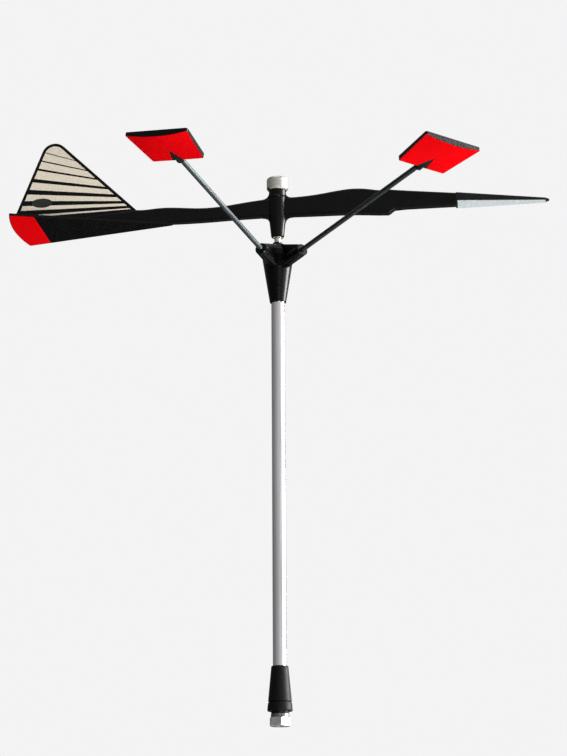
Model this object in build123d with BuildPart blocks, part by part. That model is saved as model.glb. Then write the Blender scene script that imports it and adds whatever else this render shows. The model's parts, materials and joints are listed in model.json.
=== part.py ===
from build123d import *
from math import cos, radians, sin
import os

# Masthead wind indicator: a balanced wind vane that spins on a needle spindle above two
# fixed reference arms, all on a tube mast with a screwed base.
#
# Frame: +Z up the mast, origin at the centre of the base fitting's bottom face, +X towards
# the bow. The two reference arms point aft, one each side of the XZ plane. The vane rests
# at VANE_HEADING. Lengths are millimetres and angles are degrees.

os.makedirs("parts", exist_ok=True)

# ------------------------------------------------------------------ driving dimensions
VANE_HEADING = -102.0  # bearing of the vane's nose at rest, from +X about +Z
FIT = 0.05  # radial running clearance
FOIL = 0.2  # thickness of the self-adhesive reflective foils

# base: a hex fitting, a spring washer, a two-part plastic foot and its brass insert
HEX_FLATS = 13.0
HEX_HEIGHT = 6.2
HEX_TURN = 1.0  # turn of the hexagon about the mast
WASHER_TOP = 8.2
COLLAR_BOTTOM = 9.9
COLLAR_TOP = 15.7
SLEEVE_TOP = 40.4
SHANK_RADIUS = 4.0  # M8 outside radius
SHANK_TOP = 21.0
STUD_HOLE_RADIUS = 2.1  # M5 tapping hole
STUD_HOLE_DEPTH = 12.0
INSERT_RADIUS = 5.5
INSERT_BOTTOM = 11.7
INSERT_TOP = 27.0

# mast tube
TUBE_RADIUS = 4.7
TUBE_BORE = 3.7
TUBE_TOP = 316.0

# arm holder and reference arms
HOLDER_BOTTOM = 294.5
HOLDER_SHOULDER = 327.0
HOLDER_TOP = 336.4
HOLDER_NECK_TOP = 338.6
HOLDER_WIDE = 10.9
ARM_BEARING = 152.0  # port arm, from +X about +Z; the starboard arm mirrors it
ARM_RISE = 9.15  # slope of the arms above the horizontal
ARM_ROOT_Z = 320.6  # height at which the arms' axes meet the mast's axis
EAR_RADIUS = 4.3
EAR_LENGTH = 31.5
WEB_REACH = 15.0  # how far along each arm the web between the ears runs
WEB_RIDGE = 17.0  # the web's upright front ridge
WEB_HALF = 2.8
RIB_START = (6.2, 335.6)  # rib on top of each ear: distance from the mast's axis and height
RIB_END = (29.0, 329.5)
RIB_HALF = 2.5
SOCKET_START = 12.0
ROD_RADIUS = 1.75
ROD_START = 13.0
ROD_END = 185.0
SCREW_PLACE = 24.0  # grub screw's place along each arm
SCREW_RADIUS = 1.5  # M3
SCREW_LENGTH = 2.3

# reference tabs, in each arm's own frame: x along the arm, z square to it and upward
TAB_INNER = 169.1
TAB_OUTER = 204.5
TAB_INNER_HALF = 18.0
TAB_OUTER_HALF = 21.8
TAB_TOP = 0.6
TAB_INNER_UNDER = -2.3  # underside at the inner end, where it's nearly flat
TAB_EDGE = -1.5  # underside at the sides of the outer end
TAB_BELLY = -3.8  # underside at the middle of the outer end
NOTCH_TIP = 184.0
NOTCH_HALF = 4.4
BOSS_START = 166.1  # tapered boss along the tab that holds the rod, as stations along the arm
BOSS_RADIUS = 3.2
BOSS_TAPER = 3
FOIL_EDGE = 0.4  # black edge left round a tab's foil
PORT_TWIST = -4.4  # how far each arm is turned in its socket at rest, about its own axis
STARBOARD_TWIST = -3.9

# spindle and vane bearing
SPINDLE_RADIUS = 2.3
SPINDLE_BOTTOM = 302.0
NEEDLE_RADIUS = 1.4
NEEDLE_START = 352.0
NEEDLE_TAPER = 368.0
PIVOT_Z = 373.2  # bottom of the jewel's cup, where the needle's point bears
HUB_BOTTOM = 342.3
HUB_TOP = 377.2
HUB_RADIUS = 6.15
HUB_BORE = 3.5
CAP_THREAD_BOTTOM = 366.5
CAP_THREAD_RADIUS = 4.0
CAP_RADIUS = 7.6
CAP_TOP = 386.4
JEWEL_RADIUS = 2.2
JEWEL_TOP = 374.2
JEWEL_BOTTOM = 372.2
SETTING_BOTTOM = 369.8
BUSH_TOP = 348.0
CLIP_Z = 348.6

# vane: the tail lies behind the mast (negative x in the vane's own frame)
TAIL_TIP = -185.1
TAIL_BOW = 4.0  # how far the tail plane's rear edge bows out
TAIL_HALF = 35.5
TAIL_FRONT = -75.0
TAIL_UNDER = 354.9
TAIL_THICKNESS = 1.6
TAIL_FOIL_FRONT = -168.8
FIN_THICKNESS = 1.6
FIN_APEX_RADIUS = 9.5
NOSE_START = 126.0
NOSE_TIP = 190.9
NOSE_FOIL_FRONT = 188.4
BEAM_REAR = -100.0
BEAM_STEP = 79.0
BEAM_SOFTNESS = 0.3  # corner radius of the beam as a share of its width

# fan of reflective stripes on the fin, drawn from one focus ahead of it
FAN_X = -34.0
FAN_Z = 371.0
FAN_REACH = 160.0
# each gap between two stripes: its angle above the level, and how wide it is, in degrees
FAN_GAPS = (
    (17.4, 0.29), (14.7, 0.42), (11.95, 0.65), (8.47, 1.1), (4.95, 1.45), (1.55, 1.5), (-1.25, 1.45),
)
FOIL_MARGIN = 2.2  # black border left round the fin's foil

# ------------------------------------------------------------------ working frames
UP = Vector(0, 0, 1)
NOSE_WAY = Vector(cos(radians(VANE_HEADING)), sin(radians(VANE_HEADING)), 0)
MAST_SIDE = Plane.XZ  # x out from the mast, y up


def vane_side(offset=0.0):
    """The vane's upright middle plane: x forward, y up; offset moves it to starboard."""
    return Plane(origin=(0, 0, 0), x_dir=NOSE_WAY, z_dir=NOSE_WAY.cross(UP)).offset(offset)


def vane_plan(height):
    """A level plane at a height: x forward along the vane, y to its port side."""
    return Plane(origin=(0, 0, height), x_dir=NOSE_WAY, z_dir=UP)


def vane_section(station):
    """A plane square to the vane at a station: x to starboard, y up."""
    return Plane(origin=NOSE_WAY * station, x_dir=NOSE_WAY.cross(UP), z_dir=NOSE_WAY * -1)


def arm_plane(bearing, twist=0.0):
    """The arm's own frame: x out along its axis, z square to it and upward, less its twist."""
    flat = Vector(cos(radians(bearing)), sin(radians(bearing)), 0)
    along = flat * cos(radians(ARM_RISE)) + UP * sin(radians(ARM_RISE))
    square = UP * cos(radians(ARM_RISE)) - flat * sin(radians(ARM_RISE))
    side = square.cross(along)
    turned = square * cos(radians(twist)) - side * sin(radians(twist))
    return Plane(origin=(0, 0, ARM_ROOT_Z), x_dir=along, z_dir=turned)


def arm_section(bearing, station, twist=0.0):
    """A plane square to an arm at a station: x sideways, y square to the arm and upward."""
    arm = arm_plane(bearing, twist)
    start = arm.from_local_coords((station, 0, 0))
    return Plane(origin=start, x_dir=arm.y_dir * -1, z_dir=arm.x_dir * -1)


def save(builder, name):
    """Label a finished piece and write it as one STEP file."""
    builder.part.label = name
    export_step(builder.part, f"parts/{name}.step")


# ------------------------------------------------------------------ base
with BuildPart() as base_fitting:
    with BuildSketch():
        RegularPolygon(radius=HEX_FLATS / 2, side_count=6, major_radius=False, rotation=HEX_TURN)
    extrude(amount=HEX_HEIGHT)
    # both ends are turned down to a cone, as on a nut
    with BuildSketch(MAST_SIDE):
        with BuildLine():
            Polyline(
                (0, 0), (HEX_FLATS / 2 - 0.2, 0), (HEX_FLATS / 2 + 1.1, 0.8),
                (HEX_FLATS / 2 + 1.1, HEX_HEIGHT - 0.9), (HEX_FLATS / 2 - 0.5, HEX_HEIGHT),
                (0, HEX_HEIGHT), close=True,
            )
        make_face()
    revolve(mode=Mode.INTERSECT)
    with BuildSketch(Plane.XY.offset(HEX_HEIGHT)):
        Circle(SHANK_RADIUS)
    extrude(amount=SHANK_TOP - HEX_HEIGHT)
    chamfer(base_fitting.faces().sort_by(Axis.Z)[-1].edges(), length=0.7)
    with BuildSketch(MAST_SIDE):
        with BuildLine():
            Polyline(
                (0, 0), (STUD_HOLE_RADIUS, 0), (STUD_HOLE_RADIUS, STUD_HOLE_DEPTH),
                (0, STUD_HOLE_DEPTH + 1.2), close=True,
            )
        make_face()
    revolve(mode=Mode.SUBTRACT)
save(base_fitting, "base_fitting")

with BuildPart() as spring_washer:
    with BuildSketch(Plane.XY.offset(HEX_HEIGHT)):
        Circle(6.2)
        Circle(SHANK_RADIUS + 0.15, mode=Mode.SUBTRACT)
        # the slanting cut of a split washer
        with Locations(Rotation(0, 0, 181) * Location((5.0, 0))):
            Rectangle(5.0, 0.7, rotation=15, mode=Mode.SUBTRACT)
    extrude(amount=WASHER_TOP - HEX_HEIGHT)
save(spring_washer, "spring_washer")

with BuildPart() as base_collar:
    with BuildSketch(MAST_SIDE):
        with BuildLine():
            Polyline(
                (SHANK_RADIUS + 0.2, WASHER_TOP), (5.9, WASHER_TOP), (6.1, COLLAR_BOTTOM + 0.5),
                (7.6, COLLAR_BOTTOM), (8.3, COLLAR_BOTTOM + 0.2), (8.55, COLLAR_BOTTOM + 0.9),
                (8.15, COLLAR_TOP - 0.3), (7.85, COLLAR_TOP), (INSERT_RADIUS, COLLAR_TOP),
                (INSERT_RADIUS, INSERT_BOTTOM), (SHANK_RADIUS + 0.2, INSERT_BOTTOM), close=True,
            )
        make_face()
    revolve()
save(base_collar, "base_collar")

with BuildPart() as base_insert:
    with BuildSketch(Plane.XY.offset(INSERT_BOTTOM)):
        Circle(INSERT_RADIUS)
        Circle(SHANK_RADIUS, mode=Mode.SUBTRACT)
    extrude(amount=INSERT_TOP - INSERT_BOTTOM)
save(base_insert, "base_insert")

with BuildPart() as base_sleeve:
    with BuildSketch(MAST_SIDE) as sleeve_profile:
        with BuildLine():
            Polyline(
                (INSERT_RADIUS, COLLAR_TOP + 0.5), (7.6, COLLAR_TOP + 0.5), (8.0, COLLAR_TOP + 0.9),
                (5.75, SLEEVE_TOP), (TUBE_RADIUS, SLEEVE_TOP), (TUBE_RADIUS, INSERT_TOP),
                (INSERT_RADIUS, INSERT_TOP), close=True,
            )
        make_face()
        fillet(sleeve_profile.vertices().sort_by_distance((5.75, SLEEVE_TOP))[0], radius=0.7)
    revolve()
    # a thinner spigot under the cone leaves a narrow shadow line above the collar
    with BuildSketch(Plane.XY.offset(COLLAR_TOP)):
        Circle(7.2)
        Circle(INSERT_RADIUS, mode=Mode.SUBTRACT)
    extrude(amount=0.5)
save(base_sleeve, "base_sleeve")

# ------------------------------------------------------------------ mast
with BuildPart() as mast_tube:
    with BuildSketch(Plane.XY.offset(INSERT_TOP)):
        Circle(TUBE_RADIUS)
        Circle(TUBE_BORE, mode=Mode.SUBTRACT)
    extrude(amount=TUBE_TOP - INSERT_TOP)
save(mast_tube, "mast_tube")

with BuildPart() as tube_plug:
    with BuildSketch(Plane.XY.offset(INSERT_TOP)):
        Circle(TUBE_BORE)
    extrude(amount=14)
    chamfer(tube_plug.edges().sort_by(Axis.Z)[-1], length=0.6)
save(tube_plug, "tube_plug")

with BuildPart() as spindle_plug:
    with BuildSketch(Plane.XY.offset(SPINDLE_BOTTOM - 4)):
        Circle(TUBE_BORE)
    extrude(amount=TUBE_TOP - SPINDLE_BOTTOM + 4)
    with BuildSketch(Plane.XY.offset(SPINDLE_BOTTOM)):
        Circle(SPINDLE_RADIUS)
    extrude(amount=TUBE_TOP - SPINDLE_BOTTOM, mode=Mode.SUBTRACT)
save(spindle_plug, "spindle_plug")

# ------------------------------------------------------------------ arm holder
with BuildPart() as arm_holder:
    with BuildSketch(MAST_SIDE):
        with BuildLine():
            Polyline(
                (0, HOLDER_BOTTOM), (5.4, HOLDER_BOTTOM), (5.75, HOLDER_BOTTOM + 0.5),
                (HOLDER_WIDE, HOLDER_SHOULDER), (HOLDER_WIDE - 0.4, HOLDER_SHOULDER + 4.5),
                (7.4, HOLDER_TOP - 0.5), (6.2, HOLDER_TOP), (3.6, HOLDER_TOP + 0.3),
                (3.4, HOLDER_NECK_TOP - 0.3), (3.1, HOLDER_NECK_TOP), (0, HOLDER_NECK_TOP), close=True,
            )
        make_face()
    revolve()
    for bearing in (ARM_BEARING, -ARM_BEARING):
        with BuildSketch(arm_section(bearing, 0)):
            Circle(EAR_RADIUS)
        extrude(amount=-EAR_LENGTH)
    ear_rims = arm_holder.edges().filter_by(GeomType.CIRCLE).filter_by(
        lambda rim: abs(rim.radius - EAR_RADIUS) < 0.01 and rim.center().X < -EAR_LENGTH * 0.6
    )
    chamfer(ear_rims, length=0.7)
    # a web fills the fork between the ears and ends in an upright ridge
    port_way = arm_plane(ARM_BEARING).x_dir
    fork = Vector(port_way.X, 0, port_way.Z)
    with BuildSketch(Plane(origin=(0, 0, ARM_ROOT_Z), x_dir=fork, z_dir=fork.cross(Vector(0, 1, 0)))):
        with BuildLine():
            Polyline(
                (0, 0), (WEB_REACH * fork.length, WEB_REACH * port_way.Y), (WEB_RIDGE, 0),
                (WEB_REACH * fork.length, -WEB_REACH * port_way.Y), close=True,
            )
        make_face()
    extrude(amount=WEB_HALF, both=True)
    # a rib runs down from the holder's top onto each ear
    for bearing in (ARM_BEARING, -ARM_BEARING):
        outward = Vector(cos(radians(bearing)), sin(radians(bearing)), 0)
        with BuildSketch(Plane(origin=(0, 0, 0), x_dir=outward, z_dir=outward.cross(UP))):
            with BuildLine():
                Polyline(
                    (0, HOLDER_SHOULDER), (0, RIB_START[1]), RIB_START, RIB_END,
                    (RIB_END[0], RIB_END[1] - EAR_RADIUS), close=True,
                )
            make_face()
        extrude(amount=RIB_HALF, both=True)
    for bearing in (ARM_BEARING, -ARM_BEARING):
        with BuildSketch(arm_section(bearing, SOCKET_START)):
            Circle(ROD_RADIUS + FIT)
        extrude(amount=-EAR_LENGTH, mode=Mode.SUBTRACT)
        with BuildSketch(arm_plane(bearing)):
            with Locations((SCREW_PLACE, 0)):
                Circle(SCREW_RADIUS)
        extrude(amount=2 * EAR_RADIUS, mode=Mode.SUBTRACT)
    with BuildSketch(Plane.XY.offset(HOLDER_BOTTOM)):
        Circle(TUBE_RADIUS)
    extrude(amount=TUBE_TOP - HOLDER_BOTTOM, mode=Mode.SUBTRACT)
    with BuildSketch(Plane.XY.offset(HOLDER_BOTTOM)):
        Circle(SPINDLE_RADIUS)
    extrude(amount=HOLDER_NECK_TOP - HOLDER_BOTTOM, mode=Mode.SUBTRACT)
save(arm_holder, "arm_holder")

with BuildPart() as arm_set_screws:
    for bearing in (ARM_BEARING, -ARM_BEARING):
        with BuildSketch(arm_plane(bearing).offset(ROD_RADIUS + FIT)):
            with Locations((SCREW_PLACE, 0)):
                Circle(SCREW_RADIUS)
        extrude(amount=SCREW_LENGTH)
        with BuildSketch(arm_plane(bearing).offset(ROD_RADIUS + FIT + SCREW_LENGTH)):
            with Locations((SCREW_PLACE, 0)):
                RegularPolygon(radius=0.75, side_count=6, major_radius=False)
        extrude(amount=-1.2, mode=Mode.SUBTRACT)
save(arm_set_screws, "arm_set_screws")


# ------------------------------------------------------------------ reference arms
def tab_plan(margin):
    """The tab's corners in the arm's frame, a trapezium flaring outward, less a margin."""
    return (
        (TAB_INNER + margin, -TAB_INNER_HALF + margin), (TAB_OUTER - margin, -TAB_OUTER_HALF + margin),
        (TAB_OUTER - margin, TAB_OUTER_HALF - margin), (TAB_INNER + margin, TAB_INNER_HALF - margin),
    )


# underside of the tab at its two ends: station, half width, height at the sides and in the middle
TAB_ENDS = (
    (TAB_INNER, TAB_INNER_HALF, TAB_INNER_UNDER, TAB_INNER_UNDER - 0.1),
    (TAB_OUTER, TAB_OUTER_HALF, TAB_EDGE, TAB_BELLY),
)


def make_arm(side, bearing, twist):
    """One rod with its tab and the red foil under the tab."""
    with BuildPart() as arm_rod:
        with BuildSketch(arm_section(bearing, ROD_START)):
            Circle(ROD_RADIUS)
        extrude(amount=-(ROD_END - ROD_START))
        chamfer(arm_rod.edges().filter_by(GeomType.CIRCLE), length=0.3)
    save(arm_rod, f"{side}_arm_rod")

    upper = arm_plane(bearing, twist)
    with BuildPart() as tab:
        # flat on top, and nearly flat underneath at the inner end, with a belly at the outer end
        for station, half, edge, middle in TAB_ENDS:
            with BuildSketch(arm_section(bearing, station, twist)):
                with BuildLine():
                    ThreePointArc((-half, edge), (0, middle), (half, edge))
                    Polyline((half, edge), (half, TAB_TOP), (-half, TAB_TOP), (-half, edge))
                make_face()
        loft()
        upright = tab.edges().filter_by(Axis(upper.origin, upper.z_dir))
        fillet(upright, radius=1.2)
        # a tapered boss along the middle holds the end of the rod
        with BuildSketch(arm_section(bearing, BOSS_START)):
            Circle(BOSS_RADIUS)
        extrude(amount=-(ROD_END - BOSS_START + 2), taper=BOSS_TAPER)
        with BuildSketch(arm_section(bearing, BOSS_START)):
            Circle(ROD_RADIUS)
        extrude(amount=-(ROD_END - BOSS_START), mode=Mode.SUBTRACT)
    save(tab, f"{side}_tab")

    with BuildPart() as tab_foil:
        # a skin that follows the underside
        for station, half, edge, middle in TAB_ENDS:
            with BuildSketch(arm_section(bearing, station, twist)):
                with BuildLine():
                    ThreePointArc((-half, edge), (0, middle), (half, edge))
                    Line((half, edge), (half, edge - FOIL))
                    ThreePointArc((half, edge - FOIL), (0, middle - FOIL), (-half, edge - FOIL))
                    Line((-half, edge - FOIL), (-half, edge))
                make_face()
        loft()
        with BuildSketch(upper):
            with BuildLine():
                Polyline(*tab_plan(FOIL_EDGE), close=True)
            make_face()
            # the inner edge is notched to a point under the rod
            with BuildLine():
                Polyline(
                    (TAB_INNER - 1, -NOTCH_HALF), (NOTCH_TIP, 0), (TAB_INNER - 1, NOTCH_HALF), close=True
                )
            make_face(mode=Mode.SUBTRACT)
        extrude(amount=10, both=True, mode=Mode.INTERSECT)
    save(tab_foil, f"{side}_tab_foil")


make_arm("port", ARM_BEARING, PORT_TWIST)
make_arm("starboard", -ARM_BEARING, STARBOARD_TWIST)

# ------------------------------------------------------------------ spindle
with BuildPart() as spindle:
    with BuildSketch(MAST_SIDE):
        with BuildLine():
            Polyline(
                (0, SPINDLE_BOTTOM), (SPINDLE_RADIUS, SPINDLE_BOTTOM), (SPINDLE_RADIUS, CLIP_Z),
                (1.6, CLIP_Z), (1.6, CLIP_Z + 0.6), (SPINDLE_RADIUS, CLIP_Z + 0.6),
                (SPINDLE_RADIUS, NEEDLE_START - 0.6), (NEEDLE_RADIUS, NEEDLE_START),
                (NEEDLE_RADIUS, NEEDLE_TAPER), (0.15, PIVOT_Z - 0.15), (0, PIVOT_Z - FIT), close=True,
            )
        make_face()
    revolve()
save(spindle, "spindle")

with BuildPart() as spindle_clip:
    with BuildSketch(Plane.XY.offset(CLIP_Z + 0.05)):
        Circle(3.0)
        Circle(1.6, mode=Mode.SUBTRACT)
        with Locations((2.2, 0)):
            Rectangle(2.2, 1.6, mode=Mode.SUBTRACT)
    extrude(amount=0.5)
save(spindle_clip, "spindle_clip")


# ------------------------------------------------------------------ vane
def fin_edges(margin):
    """The fin's corner points, moved inward by a margin: rear foot, apex, front foot."""
    rear_foot = Vector(-187.9 + margin * 1.08, 367.5)
    front_foot = Vector(-101.9 - margin * 1.46, 367.8)
    apex = Vector(-164.4 + margin * 0.39, 426.6 - margin * 1.74)
    return rear_foot, apex, front_foot


with BuildPart() as vane_body:
    # beam: straight rear end, under the fin
    for station, low, high, width in (
        (-187.0, 355.4, 358.0, 1.4),
        (BEAM_REAR, 355.4, 366.8, 4.4),
    ):
        with BuildSketch(vane_section(station)):
            with Locations((0, (low + high) / 2)):
                RectangleRounded(width, high - low, width * BEAM_SOFTNESS)
    loft(ruled=True)
    # beam: middle
    for station, low, high, width in (
        (BEAM_REAR, 355.4, 366.8, 4.4),
        (-86.0, 355.3, 367.4, 4.7),
        (-62.0, 355.5, 366.6, 5.0),
        (-38.0, 356.4, 367.1, 5.2),
        (-10.0, 357.4, 370.6, 5.4),
        (10.0, 357.4, 371.6, 5.4),
        (40.0, 357.4, 374.8, 5.6),
        (62.0, 356.9, 375.8, 5.6),
        (BEAM_STEP, 356.2, 374.6, 5.4),
    ):
        with BuildSketch(vane_section(station)):
            with Locations((0, (low + high) / 2)):
                RectangleRounded(width, high - low, width * BEAM_SOFTNESS)
    loft()
    # beam: slimmer front part, with a step up on its underside
    for station, low, high, width in (
        (BEAM_STEP, 356.2, 374.6, 5.4),
        (BEAM_STEP + 4, 359.3, 374.1, 5.3),
        (92.0, 359.9, 373.2, 5.2),
        (NOSE_START, 360.4, 370.1, 5.2),
    ):
        with BuildSketch(vane_section(station)):
            with Locations((0, (low + high) / 2)):
                RectangleRounded(width, high - low, width * BEAM_SOFTNESS)
    loft(ruled=True)
    # tail plane
    with BuildSketch(vane_plan(TAIL_UNDER)) as tail_outline:
        with BuildLine():
            ThreePointArc((TAIL_TIP, -TAIL_HALF), (TAIL_TIP - TAIL_BOW, 0), (TAIL_TIP, TAIL_HALF))
            Polyline(
                (TAIL_TIP, TAIL_HALF), (TAIL_FRONT, 1.2), (TAIL_FRONT, -1.2), (TAIL_TIP, -TAIL_HALF),
            )
        make_face()
        fillet(tail_outline.vertices().group_by(Axis.X)[0], radius=1.0)
    extrude(amount=TAIL_THICKNESS)
    # fin
    rear_foot, apex, front_foot = fin_edges(0)
    with BuildSketch(vane_side()) as fin_outline:
        with BuildLine():
            Polyline(
                (-188.9, TAIL_UNDER + 0.3), rear_foot, apex, front_foot,
                (-96, 362), (-100, TAIL_UNDER + 0.3), close=True,
            )
        make_face()
        fillet(fin_outline.vertices().sort_by(Axis.Y)[-1], radius=FIN_APEX_RADIUS)
    extrude(amount=FIN_THICKNESS / 2, both=True)
    # hub: a tapered lower barrel, the boss through the beam and a neck for the cap
    with BuildSketch(MAST_SIDE):
        with BuildLine():
            Polyline(
                (0, HUB_BOTTOM), (3.9, HUB_BOTTOM), (4.6, HUB_BOTTOM + 0.9), (HUB_RADIUS - 0.25, 355.5),
                (HUB_RADIUS, 358.0), (HUB_RADIUS, 371.4), (HUB_RADIUS + 0.2, 372.2),
                (HUB_RADIUS - 0.15, 373.0), (HUB_RADIUS - 0.15, HUB_TOP), (0, HUB_TOP), close=True,
            )
        make_face()
    revolve()
    # webs that sweep the beam's edges into the hub
    with BuildSketch(vane_side()):
        with BuildLine():
            Line((-10.5, 370.4), (-10.5, 366))
            Polyline((-10.5, 366), (10.5, 366), (10.5, 371.4))
            ThreePointArc((10.5, 371.4), (7.2, 372.4), (5.8, 375.2))
            Line((5.8, 375.2), (-5.8, 375.0))
            ThreePointArc((-5.8, 375.0), (-7.2, 371.8), (-10.5, 370.4))
        make_face()
        with BuildLine():
            Polyline((-10.5, 357.4), (-10.5, 361), (10.5, 361), (10.5, 357.4))
            ThreePointArc((10.5, 357.4), (7.0, 356.4), (5.7, 353.6))
            Line((5.7, 353.6), (-5.7, 353.6))
            ThreePointArc((-5.7, 353.6), (-7.0, 356.4), (-10.5, 357.4))
        make_face()
    extrude(amount=2.2, both=True)
    # bores for the spindle and for the cap's thread
    with BuildSketch(Plane.XY.offset(HUB_BOTTOM)):
        Circle(HUB_BORE)
    extrude(amount=CAP_THREAD_BOTTOM - HUB_BOTTOM, mode=Mode.SUBTRACT)
    with BuildSketch(Plane.XY.offset(CAP_THREAD_BOTTOM)):
        Circle(CAP_THREAD_RADIUS)
    extrude(amount=HUB_TOP - CAP_THREAD_BOTTOM, mode=Mode.SUBTRACT)
    # socket for the nose weight's tongue
    with BuildSketch(vane_section(NOSE_START)):
        with Locations((0, 365.4)):
            Rectangle(3.0, 5.0)
    extrude(amount=9.0, mode=Mode.SUBTRACT)
save(vane_body, "vane_body")


def nose_points(half, keel, shoulder, top):
    """The nose's cross-section: flat top, upright sides and two facets down to a keel."""
    return (
        (0, keel), (half, shoulder), (half, top - half * 0.3), (half * 0.7, top),
        (-half * 0.7, top), (-half, top - half * 0.3), (-half, shoulder),
    )


def along_nose(start, end, station):
    """A value part way from the nose's wide end to its slim end."""
    share = (station - NOSE_START) / (NOSE_FOIL_FRONT - NOSE_START)
    return start + (end - start) * share


NOSE_HALF = (2.9, 1.2)
NOSE_KEEL = (359.2, 361.0)
NOSE_SHOULDER = (364.1, 362.4)
NOSE_TOP = (370.4, 364.2)

NOSE_WIDE_END = nose_points(NOSE_HALF[0], NOSE_KEEL[0], NOSE_SHOULDER[0], NOSE_TOP[0])
NOSE_SLIM_END = nose_points(NOSE_HALF[1], NOSE_KEEL[1], NOSE_SHOULDER[1], NOSE_TOP[1])
NOSE_POINT = nose_points(0.5, 362.0, 362.5, 363.3)

with BuildPart() as nose_weight:
    for ends in (
        ((NOSE_START, NOSE_WIDE_END), (NOSE_FOIL_FRONT, NOSE_SLIM_END)),
        ((NOSE_FOIL_FRONT, NOSE_SLIM_END), (NOSE_TIP, NOSE_POINT)),
    ):
        for station, points in ends:
            with BuildSketch(vane_section(station)):
                with BuildLine():
                    Polyline(*points, close=True)
                make_face()
        loft(ruled=True)
    with BuildSketch(vane_section(NOSE_START)):
        with Locations((0, 365.4)):
            Rectangle(3.0, 5.0)
    extrude(amount=8.5)
save(nose_weight, "nose_weight")

with BuildPart() as nose_foil:
    for station in (NOSE_START + 1.2, NOSE_FOIL_FRONT):
        half = along_nose(*NOSE_HALF, station)
        keel = along_nose(*NOSE_KEEL, station)
        shoulder = along_nose(*NOSE_SHOULDER, station)
        with BuildSketch(vane_section(station)):
            with BuildLine():
                Polyline(
                    (-half, shoulder), (0, keel), (half, shoulder), (half + FOIL, shoulder - 0.1),
                    (0, keel - FOIL * 1.5), (-half - FOIL, shoulder - 0.1), close=True,
                )
            make_face()
    loft(ruled=True)
save(nose_foil, "nose_foil")

with BuildPart() as tail_foil:
    with BuildSketch(vane_plan(TAIL_UNDER)):
        with BuildLine():
            rear = TAIL_TIP + 0.4
            half = TAIL_HALF - 0.9
            inner = half - (TAIL_FOIL_FRONT - rear) * (TAIL_HALF - 1.2) / (TAIL_FRONT - TAIL_TIP)
            ThreePointArc((rear, -half), (rear - TAIL_BOW, 0), (rear, half))
            Polyline((rear, half), (TAIL_FOIL_FRONT, inner), (TAIL_FOIL_FRONT, -inner), (rear, -half))
        make_face()
    extrude(amount=-FOIL)
save(tail_foil, "tail_foil")


def fan_point(angle):
    """A point far along one ray of the fan."""
    return (FAN_X - FAN_REACH * cos(radians(angle)), FAN_Z + FAN_REACH * sin(radians(angle)))


BADGE_X = -169.3
BADGE_Z = 374.8

for side, way in (("port", -1), ("starboard", 1)):
    face = vane_side(way * FIN_THICKNESS / 2)
    with BuildPart() as fin_foil:
        rear, top, front = fin_edges(FOIL_MARGIN)
        with BuildSketch(face) as stripes:
            with BuildLine():
                Polyline(rear, top, front, (-166.0, 365.0), close=True)
            make_face()
            fillet(stripes.vertices().sort_by(Axis.Y)[-1], radius=FIN_APEX_RADIUS - FOIL_MARGIN)
            for angle, width in FAN_GAPS:
                with BuildLine():
                    Polyline(
                        (FAN_X, FAN_Z), fan_point(angle - width / 2), fan_point(angle + width / 2),
                        close=True,
                    )
                make_face(mode=Mode.SUBTRACT)
            with Locations((BADGE_X, BADGE_Z)):
                Ellipse(7.6, 3.5, mode=Mode.SUBTRACT)
        extrude(amount=way * FOIL)
    save(fin_foil, f"fin_foil_{side}")
    with BuildPart() as fin_badge:
        with BuildSketch(face):
            with Locations((BADGE_X, BADGE_Z)):
                Ellipse(7.3, 3.2)
        extrude(amount=way * FOIL)
    save(fin_badge, f"fin_badge_{side}")

# ------------------------------------------------------------------ vane bearing
with BuildPart() as bearing_cap:
    with BuildSketch(MAST_SIDE) as cap_profile:
        with BuildLine():
            Polyline(
                (0, CAP_THREAD_BOTTOM), (CAP_THREAD_RADIUS, CAP_THREAD_BOTTOM),
                (CAP_THREAD_RADIUS, HUB_TOP), (CAP_RADIUS - 1.0, HUB_TOP), (CAP_RADIUS, HUB_TOP + 1.3),
                (CAP_RADIUS, CAP_TOP), (0, CAP_TOP), close=True,
            )
        make_face()
        fillet(cap_profile.vertices().group_by(Axis.Y)[-1].sort_by(Axis.X)[-1], radius=1.8)
    revolve()
    with BuildSketch(Plane.XY.offset(CAP_THREAD_BOTTOM)):
        Circle(JEWEL_RADIUS)
    extrude(amount=JEWEL_TOP - CAP_THREAD_BOTTOM, mode=Mode.SUBTRACT)
save(bearing_cap, "bearing_cap")

with BuildPart() as bearing_jewel:
    with BuildSketch(MAST_SIDE):
        with BuildLine():
            Polyline(
                (0, PIVOT_Z), (1.0, JEWEL_BOTTOM), (JEWEL_RADIUS, JEWEL_BOTTOM),
                (JEWEL_RADIUS, JEWEL_TOP), (0, JEWEL_TOP), close=True,
            )
        make_face()
    revolve()
save(bearing_jewel, "bearing_jewel")

with BuildPart() as jewel_setting:
    with BuildSketch(Plane.XY.offset(SETTING_BOTTOM)):
        Circle(JEWEL_RADIUS)
        Circle(1.5, mode=Mode.SUBTRACT)
    extrude(amount=JEWEL_BOTTOM - SETTING_BOTTOM)
save(jewel_setting, "jewel_setting")

with BuildPart() as guide_bush:
    with BuildSketch(Plane.XY.offset(HUB_BOTTOM + 0.3)):
        Circle(HUB_BORE)
        Circle(SPINDLE_RADIUS + FIT, mode=Mode.SUBTRACT)
    extrude(amount=BUSH_TOP - HUB_BOTTOM - 0.3)
save(guide_bush, "guide_bush")
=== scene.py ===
import json
import math

import bmesh
import bpy
from mathutils import Matrix, Vector

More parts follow.
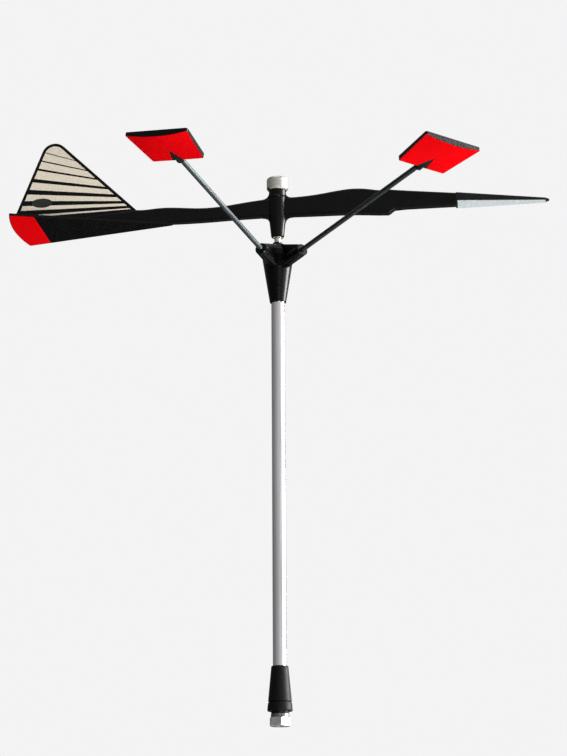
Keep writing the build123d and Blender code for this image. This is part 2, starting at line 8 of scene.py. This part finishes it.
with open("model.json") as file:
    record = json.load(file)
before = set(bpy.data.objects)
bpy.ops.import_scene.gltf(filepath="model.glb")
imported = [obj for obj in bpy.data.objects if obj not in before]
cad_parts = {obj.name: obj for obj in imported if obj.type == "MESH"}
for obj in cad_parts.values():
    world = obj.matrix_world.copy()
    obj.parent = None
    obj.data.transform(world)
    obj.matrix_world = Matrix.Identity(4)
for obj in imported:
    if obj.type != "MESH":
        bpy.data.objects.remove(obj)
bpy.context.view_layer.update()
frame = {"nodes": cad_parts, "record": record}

NODES = frame["nodes"]

# ---------------------------------------------------------------- camera
CAMERA_PLACE = Vector((-1.5713, 0.1599, -0.1666))
CAMERA_BEARING = math.radians(-5.94)  # from +X about +Z
CAMERA_PITCH = math.radians(14.45)
CAMERA_ROLL = math.radians(0.32)
CAMERA_LENS = 111.95  # millimetres


def make_camera():
    """A long lens, low down and aft of the mast, looking up at the vane."""
    level = math.cos(CAMERA_PITCH)
    forward = Vector((
        math.cos(CAMERA_BEARING) * level, math.sin(CAMERA_BEARING) * level, math.sin(CAMERA_PITCH),
    ))
    right = Vector((math.sin(CAMERA_BEARING), -math.cos(CAMERA_BEARING), 0))
    up = right.cross(forward)
    turn = Matrix.Rotation(CAMERA_ROLL, 3, forward)
    right, up = turn @ right, turn @ up
    data = bpy.data.cameras.new("camera")
    data.lens = CAMERA_LENS
    data.sensor_width = 36.0
    data.clip_start, data.clip_end = 0.05, 50
    camera = bpy.data.objects.new("camera", data)
    basis = Matrix((right, up, -forward)).transposed().to_4x4()
    camera.matrix_world = Matrix.Translation(CAMERA_PLACE) @ basis
    bpy.context.scene.collection.objects.link(camera)
    bpy.context.scene.camera = camera


make_camera()

# ---------------------------------------------------------------- materials
NOISE_RANGE = (0.3, 0.7)  # where most of a noise texture's values lie
TINT_STOPS = (0.35, 0.65)  # where a tint starts and ends


def scaled(color, factor):
    """A colour made darker or lighter, never past full."""
    return tuple(min(1, channel * factor) for channel in color)


class Paint:
    """Builds one node material around a Principled shader."""

    def __init__(self, name, color, roughness, metallic=0.0, specular=0.5, coat=0.0, coat_roughness=0.1):
        self.material = bpy.data.materials.new(name)
        self.material.use_nodes = True
        self.tree = self.material.node_tree
        self.shader = self.tree.nodes["Principled BSDF"]
        self.material.diffuse_color = (*color, 1)
        self.shader.inputs["Base Color"].default_value = (*color, 1)
        self.shader.inputs["Roughness"].default_value = roughness
        self.shader.inputs["Metallic"].default_value = metallic
        self.shader.inputs["Specular IOR Level"].default_value = specular
        self.shader.inputs["Coat Weight"].default_value = coat
        self.shader.inputs["Coat Roughness"].default_value = coat_roughness
        self.place = self.tree.nodes.new("ShaderNodeTexCoord").outputs["Object"]

    def link(self, output, target):
        self.tree.links.new(output, target)

    def stretched(self, stretch):
        """Object coordinates scaled along each axis, in cells per metre."""
        mapping = self.tree.nodes.new("ShaderNodeMapping")
        mapping.inputs["Scale"].default_value = stretch
        self.link(self.place, mapping.inputs["Vector"])
        return mapping.outputs["Vector"]

    def noise(self, stretch, detail=3.0, rough=0.55):
        """Cloudy texture, stretched along each axis."""
        node = self.tree.nodes.new("ShaderNodeTexNoise")
        node.inputs["Scale"].default_value = 1.0
        node.inputs["Detail"].default_value = detail
        node.inputs["Roughness"].default_value = rough
        self.link(self.stretched(stretch), node.inputs["Vector"])
        return node.outputs["Fac"]

    def cells(self, stretch):
        """Distances to the nearest points of a scattered grid."""
        node = self.tree.nodes.new("ShaderNodeTexVoronoi")
        node.inputs["Scale"].default_value = 1.0
        self.link(self.stretched(stretch), node.inputs["Vector"])
        return node.outputs["Distance"]

    def spread(self, value, low, high):
        """A texture value remapped to run from low to high."""
        node = self.tree.nodes.new("ShaderNodeMapRange")
        node.inputs["From Min"].default_value, node.inputs["From Max"].default_value = NOISE_RANGE
        node.inputs["To Min"].default_value = low
        node.inputs["To Max"].default_value = high
        self.link(value, node.inputs["Value"])
        return node.outputs["Result"]

    def tint(self, value, dark, light):
        """Base colour that drifts between two tones."""
        node = self.tree.nodes.new("ShaderNodeValToRGB")
        for element, position, tone in zip(node.color_ramp.elements, TINT_STOPS, (dark, light)):
            element.position = position
            element.color = (*tone, 1)
        self.link(value, node.inputs["Fac"])
        self.link(node.outputs["Color"], self.shader.inputs["Base Color"])

    def roughen(self, value, low, high):
        """Roughness that drifts between two values."""
        self.link(self.spread(value, low, high), self.shader.inputs["Roughness"])

    def bump(self, value, depth, strength):
        """Surface relief, its depth in metres."""
        node = self.tree.nodes.new("ShaderNodeBump")
        node.inputs["Distance"].default_value = depth
        node.inputs["Strength"].default_value = strength
        self.link(value, node.inputs["Height"])
        self.link(node.outputs["Normal"], self.shader.inputs["Normal"])


def gloss_plastic(name, color, specular):
    """Smooth moulded plastic with a faint ripple."""
    paint = Paint(name, color, 0.24, specular=specular)
    flow = paint.noise((90, 90, 90), detail=4)
    paint.tint(flow, scaled(color, 0.75), scaled(color, 1.35))
    paint.roughen(paint.noise((700, 700, 700), detail=5, rough=0.7), 0.17, 0.34)
    paint.bump(paint.noise((420, 420, 420), detail=2), 0.00004, 0.5)
    return paint.material


def satin_plastic(name, color, specular=0.4, grain=0.00005):
    """Fine-grained moulded plastic."""
    paint = Paint(name, color, 0.5, specular=specular)
    paint.tint(paint.noise((160, 160, 160)), scaled(color, 0.8), scaled(color, 1.25))
    paint.roughen(paint.noise((900, 900, 900), detail=4), 0.4, 0.58)
    paint.bump(paint.noise((2400, 2400, 2400), detail=2), grain, 0.6)
    return paint.material


def drawn_metal(name, color, roughness, stretch, depth=0.00001):
    """Metal with fine lines along one axis."""
    paint = Paint(name, color, roughness, metallic=1.0)
    lines = paint.noise(stretch, detail=5, rough=0.65)
    paint.tint(lines, scaled(color, 0.9), scaled(color, 1.08))
    paint.roughen(lines, roughness - 0.06, roughness + 0.07)
    paint.bump(lines, depth, 0.5)
    return paint.material


def bead_foil(name, dark, light, roughness, metallic, coat, specular=0.3):
    """Self-adhesive reflective sheeting: tiny beads under a clear skin."""
    paint = Paint(
        name, light, roughness, metallic=metallic, specular=specular, coat=coat, coat_roughness=0.12,
    )
    beads = paint.cells((2200, 2200, 2200))
    paint.tint(beads, light, dark)
    paint.roughen(paint.noise((260, 260, 260)), roughness - 0.07, roughness + 0.07)
    paint.bump(beads, 0.00003, 0.35)
    return paint.material


# one look for each material slot of the record
LOOKS = {
    "gloss_black": gloss_plastic("gloss_black_plastic", (0.0018, 0.0015, 0.0014), specular=0.17),
    "satin_black": satin_plastic(
        "satin_black_plastic", (0.0024, 0.0018, 0.0016), specular=0.15, grain=0.00009,
    ),
    "badge_grey": satin_plastic("badge_film", (0.018, 0.017, 0.016)),
    "tube_aluminium": drawn_metal(
        "drawn_aluminium", (0.82, 0.82, 0.83), 0.19, (900, 900, 14), depth=0.000003,
    ),
    "cap_aluminium": drawn_metal(
        "turned_aluminium", (0.74, 0.70, 0.63), 0.3, (10, 10, 900), depth=0.000003,
    ),
    "plated_steel": drawn_metal("zinc_plate", (0.66, 0.68, 0.66), 0.34, (350, 350, 900), depth=0.000005),
    "stainless": drawn_metal(
        "stainless_rod", (0.068, 0.081, 0.085), 0.42, (60, 60, 60), depth=0.000002,
    ),
    "nose_silver": bead_foil(
        "nose_silver_foil", (0.46, 0.50, 0.515), (0.66, 0.71, 0.73), 0.40, metallic=0.25, coat=0.2,
    ),
    "brass": drawn_metal("turned_brass", (0.75, 0.53, 0.22), 0.28, (40, 40, 1400)),
    "red_foil": bead_foil(
        "red_foil", (0.66, 0.0, 0.002), (0.96, 0.0, 0.003), 0.5, metallic=0.0, coat=0.0, specular=0.02,
    ),
    "silver_foil": bead_foil(
        "silver_foil", (0.74, 0.66, 0.53), (0.97, 0.88, 0.71), 0.42, metallic=0.05, coat=0.1,
    ),
    "painted_weight": gloss_plastic("weight_paint", (0.006, 0.0055, 0.0055), specular=0.25),
    "jewel": gloss_plastic("ruby_jewel", (0.5, 0.02, 0.06), specular=0.8),
    "bush_white": satin_plastic("acetal_bush", (0.75, 0.74, 0.70)),
}

NEEDLE_STEEL = drawn_metal("needle_steel", (0.72, 0.66, 0.56), 0.25, (300, 300, 900), depth=0.000003)
SPRING_STEEL = drawn_metal("spring_steel", (0.20, 0.19, 0.17), 0.34, (350, 350, 900), depth=0.000004)

# pieces that look unlike the rest of their slot
NODE_LOOKS = {
    "spindle": NEEDLE_STEEL,
    "spindle_clip": NEEDLE_STEEL,
    "arm_set_screws": NEEDLE_STEEL,
    "spring_washer": SPRING_STEEL,
}


def dress_nodes():
    """Gives each CAD node its own look, or else the look of its material slot."""
    for part in frame["record"]["subparts"]:
        node = NODES[part["node"]]
        look = NODE_LOOKS.get(part["node"], LOOKS[part["material_slot"]])
        for place in node.material_slots:
            place.material = look


dress_nodes()

# ---------------------------------------------------------------- stage
FLOOR_LEVEL = -0.6
FLOOR_RADIUS = 1.7
AIM = (0, 0, 0.28)  # every lamp points at this place on the mast
BACKDROP = (0.9, 0.9, 0.9, 1)  # the surround as the camera sees it
# height and brightness of the surround as the object sees it: 0 is straight down, 1 straight up
SURROUND = ((0.0, 0.02), (0.5, 0.03), (0.53, 0.36), (0.72, 0.36), (1.0, 0.12))
COOLNESS = 1.03  # how much bluer than grey the surround is
BRIGHT_SIDE = (-0.588, -0.809, 0)  # to the camera's right, on the camera's side of the mast
SIDE_GAIN = (0.45, 1.7)  # brightness away from the bright side and toward it


def make_floor():
    """A round sheet of pale paper below the object."""
    mesh = bpy.data.meshes.new("floor")
    shape = bmesh.new()
    bmesh.ops.create_circle(shape, cap_ends=True, segments=128, radius=FLOOR_RADIUS)
    shape.to_mesh(mesh)
    shape.free()
    floor = bpy.data.objects.new("floor", mesh)
    floor.location = (0, 0, FLOOR_LEVEL)
    bpy.context.scene.collection.objects.link(floor)
    paint = Paint("floor_paper", (0.36, 0.36, 0.355), 0.85, specular=0.1)
    paint.tint(paint.noise((3, 3, 3)), (0.35, 0.35, 0.345), (0.37, 0.37, 0.365))
    mesh.materials.append(paint.material)


def make_softbox(name, place, width, height, power):
    """A soft rectangular lamp, sizes in metres and power in watts."""
    data = bpy.data.lights.new(name, "AREA")
    data.shape = "RECTANGLE"
    data.size, data.size_y = width, height
    data.energy = power
    light = bpy.data.objects.new(name, data)
    light.location = place
    light.rotation_mode = "QUATERNION"
    light.rotation_quaternion = (Vector(AIM) - Vector(place)).to_track_quat("-Z", "Y")
    bpy.context.scene.collection.objects.link(light)


def spread_from_unit(tree, value, span):
    """A value between -1 and 1 remapped to run over the span."""
    node = tree.nodes.new("ShaderNodeMapRange")
    node.inputs["From Min"].default_value = -1
    node.inputs["From Max"].default_value = 1
    node.inputs["To Min"].default_value, node.inputs["To Max"].default_value = span
    tree.links.new(value, node.inputs["Value"])
    return node.outputs["Result"]


def make_world():
    """A pale surround that is dimmer where it only lights and reflects."""
    world = bpy.data.worlds.new("studio")
    bpy.context.scene.world = world
    world.use_nodes = True
    tree = world.node_tree
    tree.nodes.clear()
    place = tree.nodes.new("ShaderNodeTexCoord")
    split = tree.nodes.new("ShaderNodeSeparateXYZ")
    tree.links.new(place.outputs["Generated"], split.inputs["Vector"])
    rise = spread_from_unit(tree, split.outputs["Z"], (0, 1))
    ramp = tree.nodes.new("ShaderNodeValToRGB")
    tree.links.new(rise, ramp.inputs["Fac"])
    elements = ramp.color_ramp.elements
    while len(elements) < len(SURROUND):
        elements.new(1.0)
    for element, (position, grey) in zip(elements, SURROUND):
        element.position = position
        element.color = (grey, grey, grey * COOLNESS, 1)
    dim = tree.nodes.new("ShaderNodeBackground")
    tree.links.new(ramp.outputs["Color"], dim.inputs["Color"])
    side = tree.nodes.new("ShaderNodeVectorMath")
    side.operation = "DOT_PRODUCT"
    side.inputs[1].default_value = BRIGHT_SIDE
    tree.links.new(place.outputs["Generated"], side.inputs[0])
    gain = spread_from_unit(tree, side.outputs["Value"], SIDE_GAIN)
    tree.links.new(gain, dim.inputs["Strength"])
    pale = tree.nodes.new("ShaderNodeBackground")
    pale.inputs["Color"].default_value = BACKDROP
    seen = tree.nodes.new("ShaderNodeLightPath")
    mix = tree.nodes.new("ShaderNodeMixShader")
    tree.links.new(seen.outputs["Is Camera Ray"], mix.inputs["Fac"])
    tree.links.new(dim.outputs["Background"], mix.inputs[1])
    tree.links.new(pale.outputs["Background"], mix.inputs[2])
    output = tree.nodes.new("ShaderNodeOutputWorld")
    tree.links.new(mix.outputs["Shader"], output.inputs["Surface"])


make_floor()
make_world()
make_softbox("key", place=(0.05, -1.5, 0.6), width=0.72, height=1.9, power=115)
make_softbox("side_glow", place=(-0.8, -1.27, 0.6), width=0.7, height=1.7, power=4.5)
make_softbox("front_fill", place=(-2.15, -0.5, -0.62), width=0.9, height=0.9, power=50)
make_softbox("top", place=(-0.3, 0.2, 2.2), width=1.6, height=1.6, power=8)

bpy.context.scene.view_settings.view_transform = "Standard"
